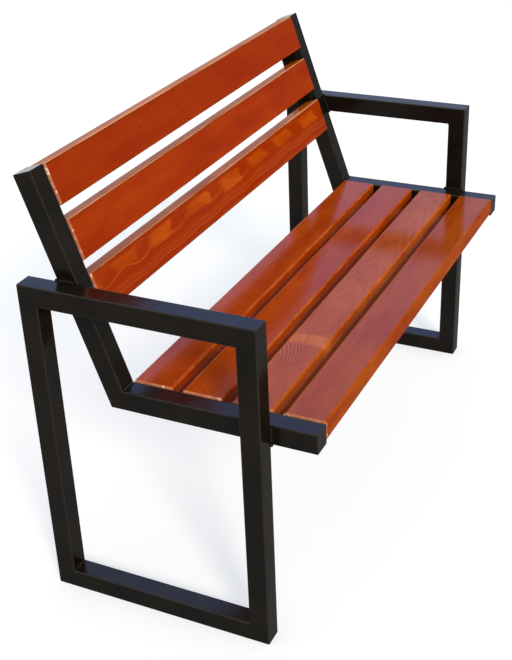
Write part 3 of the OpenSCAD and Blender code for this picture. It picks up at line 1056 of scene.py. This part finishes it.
slatRow = {
    "edgeRadius": 0.005,
    "endRadius": 0.002,
    "edgeSteps": 5,
    "cornerMark": 3.2,  # how soon the marks for wear and for end grain are full, past an edge
    "endMark": 1.5,
    "figures": {
        "seat_slat_1": {
            **seatFigure, "worn": 0.15, "contrast": 0.2, "patches": 0.15, "gapFaces": "rear",
            "body": (0.435, 0.092, 0.003),
            "growth": {"Pith": (0.1, 0.05, -0.09), "Tilt": (0.2, 0.02, 0.01), "Ring Spacing": 0.0042,
                       "Wobble": 0.006}},
        "seat_slat_2": {
            **seatFigure, "contrast": 0.24, "clouds": 0.4, "body": (0.51, 0.115, 0.004),
            "knotBand": knotBand,
            "growth": {"Pith": (-0.3, -0.01, -0.07), "Tilt": (0.9, 0.05, 0.02), "Ring Spacing": 0.0035,
                       "Wobble": 0.004, "Knot": (-0.275, -0.004, 0.019), "Knot Size": 0.05,
                       "Knot Rise": 0.010}},
        "seat_slat_3": {
            **seatFigure, "contrast": 0.18, "body": (0.45, 0.073, 0.003),
            "growth": {"Pith": (0.05, 0.02, -0.055), "Tilt": (1.7, -0.03, 0.03), "Ring Spacing": 0.0045,
                       "Wobble": 0.006}},
        "seat_slat_4": {
            **seatFigure, "contrast": 0.16, "body": (0.48, 0.078, 0.003),
            "growth": {"Pith": (0.2, -0.04, -0.08), "Tilt": (2.6, 0.02, -0.02), "Ring Spacing": 0.005,
                       "Wobble": 0.006}},
        "back_slat_1": {
            **backFigure, "contrast": 0.14, "patches": 0.10, "body": (0.326, 0.031, 0.0009),
            "growth": {"Pith": (0.1, 0.10, 0.03), "Tilt": (0.5, 0.01, 0.01), "Ring Spacing": 0.0038,
                       "Wobble": 0.010}},
        "back_slat_2": {
            **backFigure, "contrast": 0.14, "patches": 0.12, "body": (0.378, 0.038, 0.0011),
            "growth": {"Pith": (-0.2, 0.09, -0.05), "Tilt": (1.2, -0.01, 0.01), "Ring Spacing": 0.004,
                       "Wobble": 0.010}},
        "back_slat_3": {
            **backFigure, "contrast": 0.42, "patches": 0.25, "clouds": 0.3, "body": (0.318, 0.027, 0.0009),
            "flame": flameFigure,
            "growth": {"Pith": (0.0, 0.075, 0.026), "Tilt": (0.0, 0.0, 0.004), "Ring Spacing": 0.0021,
                       "Wobble": 0.0036, "Ripple": 0.0009, "Ripple Length": 0.145}},
    },
}
seatLow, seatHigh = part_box("seat_slat_1")
slatThickness, slatWidth = seatHigh.z - seatLow.z, seatHigh.y - seatLow.y


def makeSlatTree():  # only the long edges keep the full bevel; the end ones have a share of it
    tree, inside, out = newShapeTree("slatBoard", {"Size": (1.0, 1.0, 1.0), "Place": (0.0, 0.0, 0.0),
                                                   "Lean": 0.0, "End Share": 1.0})
    board = shape(tree, "MeshCube", {"Size": inside["Size"]})
    ends = addNode(tree, "GeometryNodeInputMeshEdgeVertices").outputs
    run = vectorMaths("SUBTRACT", ends["Position 1"], ends["Position 2"])
    runX = maths("ABSOLUTE", splitVector(run)[0])
    lengthways = maths("GREATER_THAN", runX, slatRow["edgeRadius"])
    weight = maths("MAXIMUM", lengthways, inside["End Share"])
    marked = storeLayer(board, "bevel_weight_edge", weight, domain="EDGE")
    placed = shape(tree, "Transform", {"Geometry": marked, "Translation": inside["Place"],
                                       "Rotation": joinVector(X=inside["Lean"])})
    return finishTree(tree, inside, out, placed)


def slatPlace(node):
    low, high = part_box(node)
    centre, length = (low + high) / 2, high.x - low.x
    if node.startswith("back"):
        return centre, -lean, Vector((length, slatThickness, slatWidth))
    return centre, 0.0, Vector((length, slatWidth, slatThickness))


def markEdges(mesh, centre, turn, size):
    unturn = Euler((turn, 0, 0)).to_matrix().inverted()
    radii = (slatRow["endRadius"], slatRow["edgeRadius"], slatRow["edgeRadius"])
    cornerMark, endMark = slatRow["cornerMark"], slatRow["endMark"]
    marks = {"arris": [], "endGrain": [], "endArris": []}
    for vert in mesh.vertices:
        at = unturn @ (vert.co - centre)
        reach = [max(0.0, (abs(at[k]) - (size[k] / 2 - radius)) / radius) for k, radius in enumerate(radii)]
        marks["arris"].append(min(1.0, cornerMark * reach[1] * reach[2]))
        marks["endGrain"].append(min(1.0, endMark * reach[0]))
        marks["endArris"].append(min(1.0, cornerMark * reach[0] * max(reach[1], reach[2])))
    for name, values in marks.items():
        layer = mesh.attributes.new(name, "FLOAT", "POINT")
        layer.data.foreach_set("value", np.array(values, dtype=np.float32))


def buildSlats():
    tree = makeSlatTree()
    endShare = slatRow["endRadius"] / slatRow["edgeRadius"]
    for node, figure in slatRow["figures"].items():
        centre, turn, size = slatPlace(node)
        timber = makeTimber(f"timber_{node}", centre, turn, figure)
        holder = growTree(tree, {"Size": size, "Place": centre, "Lean": turn, "End Share": endShare,
                                 "Material": timber})
        eased = holder.modifiers.new("eased", "BEVEL")
        eased.limit_method = "WEIGHT"
        eased.width = slatRow["edgeRadius"]
        eased.segments = slatRow["edgeSteps"]
        mesh = smoothMesh(bakeMesh(holder))
        markEdges(mesh, centre, turn, size)
        finishPiece(f"{node}_board", mesh, timber, node)


buildSlats()
print("slats built")


# Coach screws and washers, under the seat and behind the back

fastener = {
    "screw": {"Across Flats": 0.010, "Head Height": 0.004, "Shank": 0.006, "Length": 0.035, "Seed": 7},
    "headSides": 24,
    "headRows": 8,
    "topRows": 3,
    "topShare": 0.95,  # the flat top's radius, by that of the circle inside the flats
    "chamfer": 60.0,
    "shankSides": 16,
    "shankRows": 24,
    "pointSlope": 0.375,
    "pointRadius": 0.00075,
    "washer": {"Outer": 0.013, "Inner": 0.007, "Thickness": 0.0016, "Ease": 0.0003},
    "washerSides": 32,
    "easeSteps": 2,
    "washerSeed": 1,
    "sharpAngle": 25.0,
    "merge": 1e-5,
}


def turnedInstances(tree, points, instance, seed):
    facing = addNode(tree, "FunctionNodeAlignRotationToVector",
                     {"Vector": readLayer(tree, "outward", "FLOAT_VECTOR")}, axis="Z").outputs[0]
    spin = addNode(tree, "FunctionNodeRandomValue", {"Seed": seed}, data_type="FLOAT")
    angle = times([socket for socket in spin.outputs if socket.enabled][0], 2 * math.pi)
    about = addNode(tree, "FunctionNodeEulerToRotation", {0: joinVector(Z=angle)}).outputs[0]
    turned = addNode(tree, "FunctionNodeRotateRotation", {0: facing, 1: about}, rotation_space="LOCAL")
    return shape(tree, "InstanceOnPoints", {"Points": points, "Instance": instance,
                                            "Rotation": turned.outputs[0]})


def hexagonHead(tree, across, height):
    blank = shape(tree, "MeshCylinder",
                  {"Vertices": fastener["headSides"], "Side Segments": fastener["headRows"],
                   "Fill Segments": fastener["topRows"], "Radius": 1.0, "Depth": 1.0},
                  fill_type="TRIANGLE_FAN")
    x, y, z = splitVector(shape(tree, "InputPosition"))
    flats = maths("DIVIDE", maths("ARCTAN2", y, x), math.pi / 3)
    flats = plus(flats, 6 + 0.5)  # the six keeps it above zero
    sector = minus(maths("FRACT", flats), 0.5)  # from the middle of the nearest flat
    half = times(across, 0.5)
    flat = maths("DIVIDE", half, maths("COSINE", times(sector, math.pi / 3)))
    fromTop = maths("POWER", minus(0.5, z), 2.0)  # rows of points close up towards the top
    depth = times(fromTop, height)
    cone = plus(times(half, fastener["topShare"]),
                times(depth, math.tan(math.radians(fastener["chamfer"]))))
    reach = maths("MINIMUM", flat, cone)
    shaped = joinVector(X=times(x, reach), Y=times(y, reach), Z=minus(height, depth))
    return shape(tree, "SetPosition", {"Geometry": blank, "Position": shaped})


def pointedShank(tree, thickness, length):
    into = joinVector(Z=times(length, -1.0))
    line = shape(tree, "CurvePrimitiveLine", {"End": into})
    rows = shape(tree, "ResampleCurve", {"Curve": line, "Count": fastener["shankRows"]})
    left = minus(length, addNode(tree, "GeometryNodeSplineParameter").outputs["Length"])
    point = plus(times(left, fastener["pointSlope"]), fastener["pointRadius"])
    radius = maths("MINIMUM", times(thickness, 0.5), point)
    return roundRod(rows, fastener["shankSides"], radius)


def makeScrewTree():
    tree, inside, out = newShapeTree("coachScrew", fastener["screw"])
    whole = tree.nodes.new("GeometryNodeJoinGeometry")
    setInputs(whole, {0: hexagonHead(tree, inside["Across Flats"], inside["Head Height"])})
    setInputs(whole, {0: pointedShank(tree, inside["Shank"], inside["Length"])})
    placed = turnedInstances(tree, inside["Geometry"], whole.outputs[0], inside["Seed"])
    return finishTree(tree, inside, out, placed)


def makeWasherTree():
    tree, inside, out = newShapeTree("washer", fastener["washer"])
    outer, inner = inside["Outer"], inside["Inner"]
    path = circle(tree, fastener["washerSides"], times(plus(outer, inner), 0.25))
    width = times(minus(outer, inner), 0.5)
    section = shape(tree, "CurvePrimitiveQuadrilateral", {"Width": width, "Height": inside["Thickness"]},
                    mode="RECTANGLE")
    eased = shape(tree, "FilletCurve",
                  {"Curve": section, "Count": fastener["easeSteps"], "Radius": inside["Ease"]}, mode="POLY")
    ring = shape(tree, "CurveToMesh", {"Curve": path, "Profile Curve": eased})
    placed = turnedInstances(tree, inside["Geometry"], ring, fastener["washerSeed"])
    return finishTree(tree, inside, out, placed)


def looseCentres(node):  # the middle of each loose part of a node, always in the same order
    work = bmesh.new()
    work.from_mesh(frame["nodes"][node].data)
    bmesh.ops.remove_doubles(work, verts=work.verts, dist=fastener["merge"])
    waiting, centres = set(work.verts), []
    while waiting:
        piece, fresh = set(), [next(iter(waiting))]
        while fresh:
            vert = fresh.pop()
            if vert in waiting:
                waiting.discard(vert)
                piece.add(vert)
                fresh += [edge.other_vert(vert) for edge in vert.link_edges]
        spread = [[vert.co[axis] for vert in piece] for axis in range(3)]
        centres.append(Vector([(min(places) + max(places)) / 2 for places in spread]))
    work.free()
    return sorted(centres, key=lambda centre: tuple(round(number, 4) for number in centre))


def buildFasteners():
    screwTree, washerTree = makeScrewTree(), makeWasherTree()
    for group, outward in (("seat", Vector((0, 0, -1))), ("back", Vector((0, *backward)))):
        centres = looseCentres(f"{group}_washers")
        under = [centre + outward * (fastener["washer"]["Thickness"] / 2) for centre in centres]
        kinds = {"screws": (screwTree, fastener["screw"], under),
                 "washers": (washerTree, fastener["washer"], centres)}
        for kind, (tree, values, places) in kinds.items():
            base = pointMesh(places, outward=[outward] * len(places))
            mesh = bakeMesh(growTree(tree, {**values, "Material": zincPlate}, base))
            if "outward" in mesh.attributes:
                mesh.attributes.remove(mesh.attributes["outward"])
            mesh = smoothMesh(mesh, fastener["sharpAngle"])
            finishPiece(f"{group}_{kind}_zinc", mesh, zincPlate, f"{group}_{kind}")
        print(group, "screws and washers:", len(centres))


buildFasteners()


# Floor and light

studio = {
    "floorColour": (0.58, 0.58, 0.58),
    "floorGlow": (0.505, 0.545, 0.580),
    "floorReach": 40.0,
    "haze": [  # pale light all round, by the height of the direction, from the horizon to straight up
        (0.00, (1.00, 1.00, 1.00)),
        (0.26, (0.94, 0.93, 0.92)),
        (0.50, (0.52, 0.52, 0.55)),
        (0.88, (0.64, 0.60, 0.56)),
    ],
    "sky": [  # the blue part, which the tops of the seat and of the frame mirror
        (0.00, (1.00, 1.00, 1.00)),
        (0.10, (0.95, 0.95, 0.98)),
        (0.28, (0.37, 0.48, 0.76)),
        (0.46, (0.32, 0.46, 0.92)),
        (0.70, (0.42, 0.49, 0.88)),
    ],
    "skyMiddle": (0.838, 0.343, 0.424),
    "skyReach": (0.87, 0.945),
    "sun": {"strength": 2.15, "angle": 14.0, "from": (-0.61, -0.60, 0.50), "colour": (1.0, 0.90, 0.70)},
}


def seenDirectly(tree):
    rays = tree.nodes.new("ShaderNodeLightPath").outputs
    both = maths("MAXIMUM", rays["Is Camera Ray"], rays["Is Glossy Ray"])
    return maths("MAXIMUM", both, rays["Is Transmission Ray"])


def buildFloor():
    reach = studio["floorReach"]
    corners = [(-reach, -reach, 0), (reach, -reach, 0), (reach, reach, 0), (-reach, reach, 0)]
    mesh = bpy.data.meshes.new("floor")
    mesh.from_pydata(corners, [], [(0, 1, 2, 3)])
    material = bpy.data.materials.new("paleFloor")
    tree = clearTree(material)
    cloth = addNode(tree, "ShaderNodeBsdfDiffuse", {"Color": studio["floorColour"]})
    glow = addNode(tree, "ShaderNodeEmission",
                   {"Color": studio["floorGlow"], "Strength": seenDirectly(tree)})
    both = addNode(tree, "ShaderNodeAddShader", {0: cloth.outputs[0], 1: glow.outputs[0]})
    addNode(tree, "ShaderNodeOutputMaterial", {"Surface": both.outputs[0]})
    mesh.materials.append(material)
    addObject("floor", mesh)


def heightRamp(height, colours):
    ramp = addNode(height.id_data, "ShaderNodeValToRGB", {"Fac": height})
    stops = ramp.color_ramp.elements
    while len(stops) < len(colours):
        stops.new(0.5)
    for stop, (place, colour) in zip(stops, colours):
        stop.position = place
    for stop, (place, colour) in zip(stops, colours):  # once every stop is in its place
        stop.color = (*colour, 1)
    return ramp.outputs["Color"]


def buildWorld():
    world = bpy.data.worlds.new("studioSky")
    bpy.context.scene.world = world
    tree = clearTree(world)
    direction = tree.nodes.new("ShaderNodeTexCoord").outputs["Generated"]
    height = splitVector(direction)[2]
    nearness = vectorMaths("DOT_PRODUCT", direction, studio["skyMiddle"])
    share = stretch(nearness, *studio["skyReach"], curve="SMOOTHSTEP")
    haze, sky = (heightRamp(height, studio[key]) for key in ("haze", "sky"))
    colour = blendColours(share, haze, sky)
    light = addNode(tree, "ShaderNodeBackground", {"Color": colour, "Strength": 1.0})
    addNode(tree, "ShaderNodeOutputWorld", {"Surface": light.outputs[0]})


def buildSun():
    sun = studio["sun"]
    data = bpy.data.lights.new("key", "SUN")
    data.energy = sun["strength"]
    data.angle = math.radians(sun["angle"])
    data.color = sun["colour"]
    lamp = addObject("key", data)
    lamp.rotation_euler = Vector(sun["from"]).to_track_quat("Z", "Y").to_euler()


buildFloor()
buildWorld()
buildSun()
bpy.context.scene.view_settings.view_transform = "Standard"
print("floor and light set")
